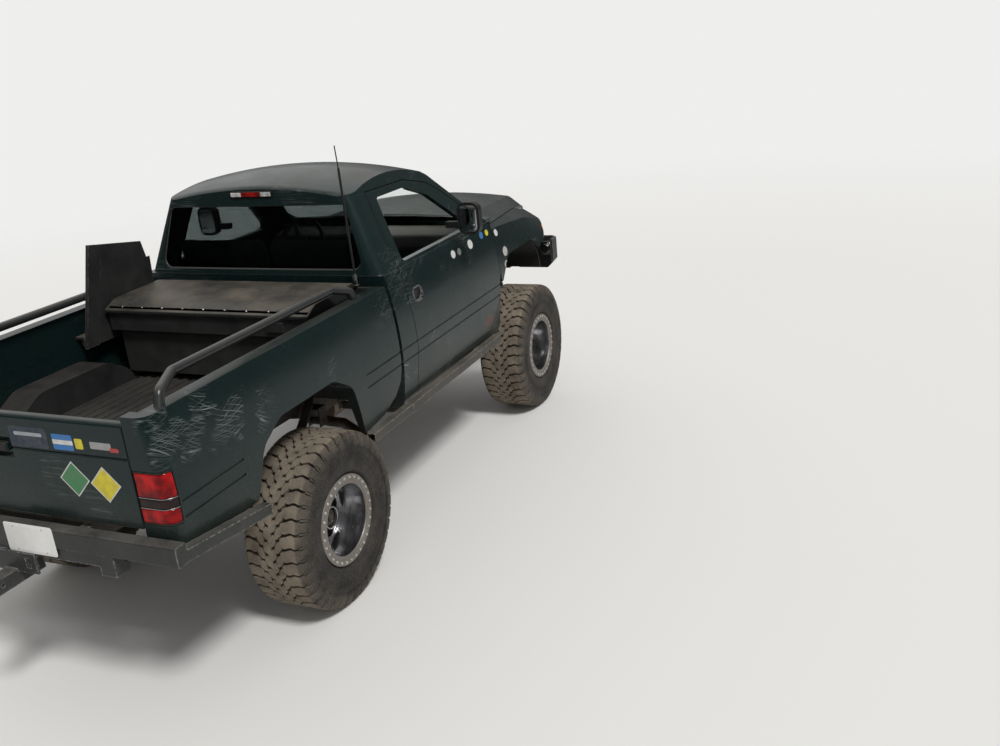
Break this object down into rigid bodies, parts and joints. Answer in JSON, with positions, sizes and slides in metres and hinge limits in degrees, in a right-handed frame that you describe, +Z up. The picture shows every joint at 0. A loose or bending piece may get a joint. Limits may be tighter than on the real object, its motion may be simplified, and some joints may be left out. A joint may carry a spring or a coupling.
{
  "type": "lifted off-road pickup truck",
  "caption": "Lifted regular-cab off-road pickup with short bed, big mud tyres, steel bumpers, sliders and a bed tool box; its wheels, steering, doors, hood, lid and tailgate move.",
  "frame": {"origin": "on the ground, under the middle of the truck's length and width", "axes": "+X forward to the hood, +Y to the truck's left, +Z up"},
  "size_m": [5.35, 2.32, 2.3921],
  "materials": {
    "body_paint": "dark green metallic, dusty",
    "black_paint": "satin, dusty",
    "bed_liner": "matte, dusty",
    "tube_grey": "worn, with rust",
    "panel_steel": "worn, with rust",
    "bumper_dark": "satin, dusty",
    "dark_steel": "dusty",
    "coil_paint": "satin",
    "polished_wheel": "polished, scuffed",
    "tyre_rubber": "dusty",
    "tinted_glass": "tinted",
    "clear_glass": "clear",
    "lamp_clear": "clear",
    "lamp_red": "clear red",
    "lamp_ring": "bright",
    "black_plastic": "matte",
    "cabin_plastic": "matte",
    "seat_fabric": "worn",
    "bare_metal": "dull",
    "blank_plate": "blank white"
  },
  "bodies": {
    "body": {"antenna": "black_plastic", "bed_box": "bed_liner", "bed_tube_rails": "tube_grey", "bedsides": "body_paint", "bumper_lamps": "lamp_ring", "cab_floor": "body_paint", "cab_back": "body_paint", "cab_front": "body_paint", "cab_roof": "body_paint", "frame_rails": "black_paint", "cross_members": "black_paint", "dashboard": "cabin_plastic", "drive_shafts": "dark_steel", "engine_block": "dark_steel", "exhaust": "bare_metal", "fenders": "body_paint", "front_axle": "dark_steel", "front_bumper": "bumper_dark", "front_lamps": "lamp_clear", "front_links": "dark_steel", "front_springs": "coil_paint", "fuel_tank": "black_plastic", "inner_fenders": "black_plastic", "licence_plate": "blank_plate", "radiator": "bare_metal", "rear_axle": "dark_steel", "rear_bumper": "bumper_dark", "rear_lamps": "lamp_red", "rear_springs": "dark_steel", "rear_window": "tinted_glass", "rock_sliders": "tube_grey", "seat_backrest": "seat_fabric", "seat_cushion": "seat_fabric", "shock_absorbers": "coil_paint", "steering_wheel": "black_plastic", "tool_box": "black_paint", "upright_panel": "panel_steel", "windscreen": "clear_glass"},
    "hood": {"hood": "body_paint", "grille": "black_plastic"},
    "door_left": {"door_left": "body_paint", "door_glass_left": "clear_glass", "mirror_left": "black_plastic"},
    "door_right": {"door_right": "body_paint", "mirror_right": "black_plastic"},
    "tailgate": {"tailgate": "body_paint"},
    "tool_box_lid": {"tool_box_lid": "black_paint"},
    "knuckle_left": {"knuckle_left": "dark_steel"},
    "knuckle_right": {"knuckle_right": "dark_steel"},
    "tie_rod": {"tie_rod": "dark_steel"},
    "pitman_arm": {"pitman_arm": "dark_steel"},
    "drag_link": {"drag_link": "dark_steel"},
    "wheel_rear_left": {"tyre_rear_left": "tyre_rubber", "wheel_rear_left": "polished_wheel"},
    "wheel_rear_right": {"tyre_rear_right": "tyre_rubber", "wheel_rear_right": "polished_wheel"},
    "wheel_front_left": {"tyre_front_left": "tyre_rubber", "wheel_front_left": "polished_wheel"},
    "wheel_front_right": {"tyre_front_right": "tyre_rubber", "wheel_front_right": "polished_wheel"}
  },
  "joints": [
    {"name": "steer_left", "type": "hinge", "parent": "body", "child": "knuckle_left", "pos_m": [1.741, 0.7, 0.49], "axis": [0, 0, 1], "range_deg": [-28, 28]},
    {"name": "steer_right", "type": "hinge", "parent": "body", "child": "knuckle_right", "pos_m": [1.741, -0.7, 0.49], "axis": [0, 0, 1], "range_deg": [-28, 28]},
    {"name": "tie_rod_pivot", "type": "hinge", "parent": "knuckle_left", "child": "tie_rod", "pos_m": [1.891, 0.7, 0.597], "axis": [0, 0, 1], "range_deg": [-28, 28]},
    {"name": "pitman_swing", "type": "hinge", "parent": "body", "child": "pitman_arm", "pos_m": [1.741, 0.33, 0.711], "axis": [0, 0, 1], "range_deg": [-28, 28]},
    {"name": "drag_link_pivot", "type": "hinge", "parent": "pitman_arm", "child": "drag_link", "pos_m": [1.891, 0.33, 0.68], "axis": [0, 0, 1], "range_deg": [-28, 28]},
    {"name": "roll_front_left", "type": "hinge", "parent": "knuckle_left", "child": "wheel_front_left", "pos_m": [1.741, 0.9, 0.49], "axis": [0, 1, 0], "continuous": true},
    {"name": "roll_front_right", "type": "hinge", "parent": "knuckle_right", "child": "wheel_front_right", "pos_m": [1.741, -0.9, 0.49], "axis": [0, 1, 0], "continuous": true},
    {"name": "roll_rear_left", "type": "hinge", "parent": "body", "child": "wheel_rear_left", "pos_m": [-1.275, 0.9, 0.49], "axis": [0, 1, 0], "continuous": true},
    {"name": "roll_rear_right", "type": "hinge", "parent": "body", "child": "wheel_rear_right", "pos_m": [-1.275, -0.9, 0.49], "axis": [0, 1, 0], "continuous": true},
    {"name": "door_left_hinge", "type": "hinge", "parent": "body", "child": "door_left", "pos_m": [1.258, 0.985, 1.2], "axis": [0, 0, -1], "range_deg": [0, 65]},
    {"name": "door_right_hinge", "type": "hinge", "parent": "body", "child": "door_right", "pos_m": [1.258, -0.985, 1.2], "axis": [0, 0, 1], "range_deg": [0, 65]},
    {"name": "hood_hinge", "type": "hinge", "parent": "body", "child": "hood", "pos_m": [1.429, 0, 1.6], "axis": [0, -1, 0], "range_deg": [0, 55]},
    {"name": "tailgate_hinge", "type": "hinge", "parent": "body", "child": "tailgate", "pos_m": [-2.397, 0, 1.05], "axis": [0, -1, 0], "range_deg": [0, 90]},
    {"name": "tool_box_lid_hinge", "type": "hinge", "parent": "body", "child": "tool_box_lid", "pos_m": [-0.391, 0, 1.586], "axis": [0, 1, 0], "range_deg": [0, 60]}
  ],
  "couplings": [
    {"joint": "steer_right", "follows": "steer_left", "ratio": 1},
    {"joint": "tie_rod_pivot", "follows": "steer_left", "ratio": -1},
    {"joint": "pitman_swing", "follows": "steer_left", "ratio": 1},
    {"joint": "drag_link_pivot", "follows": "steer_left", "ratio": -1}
  ]
}
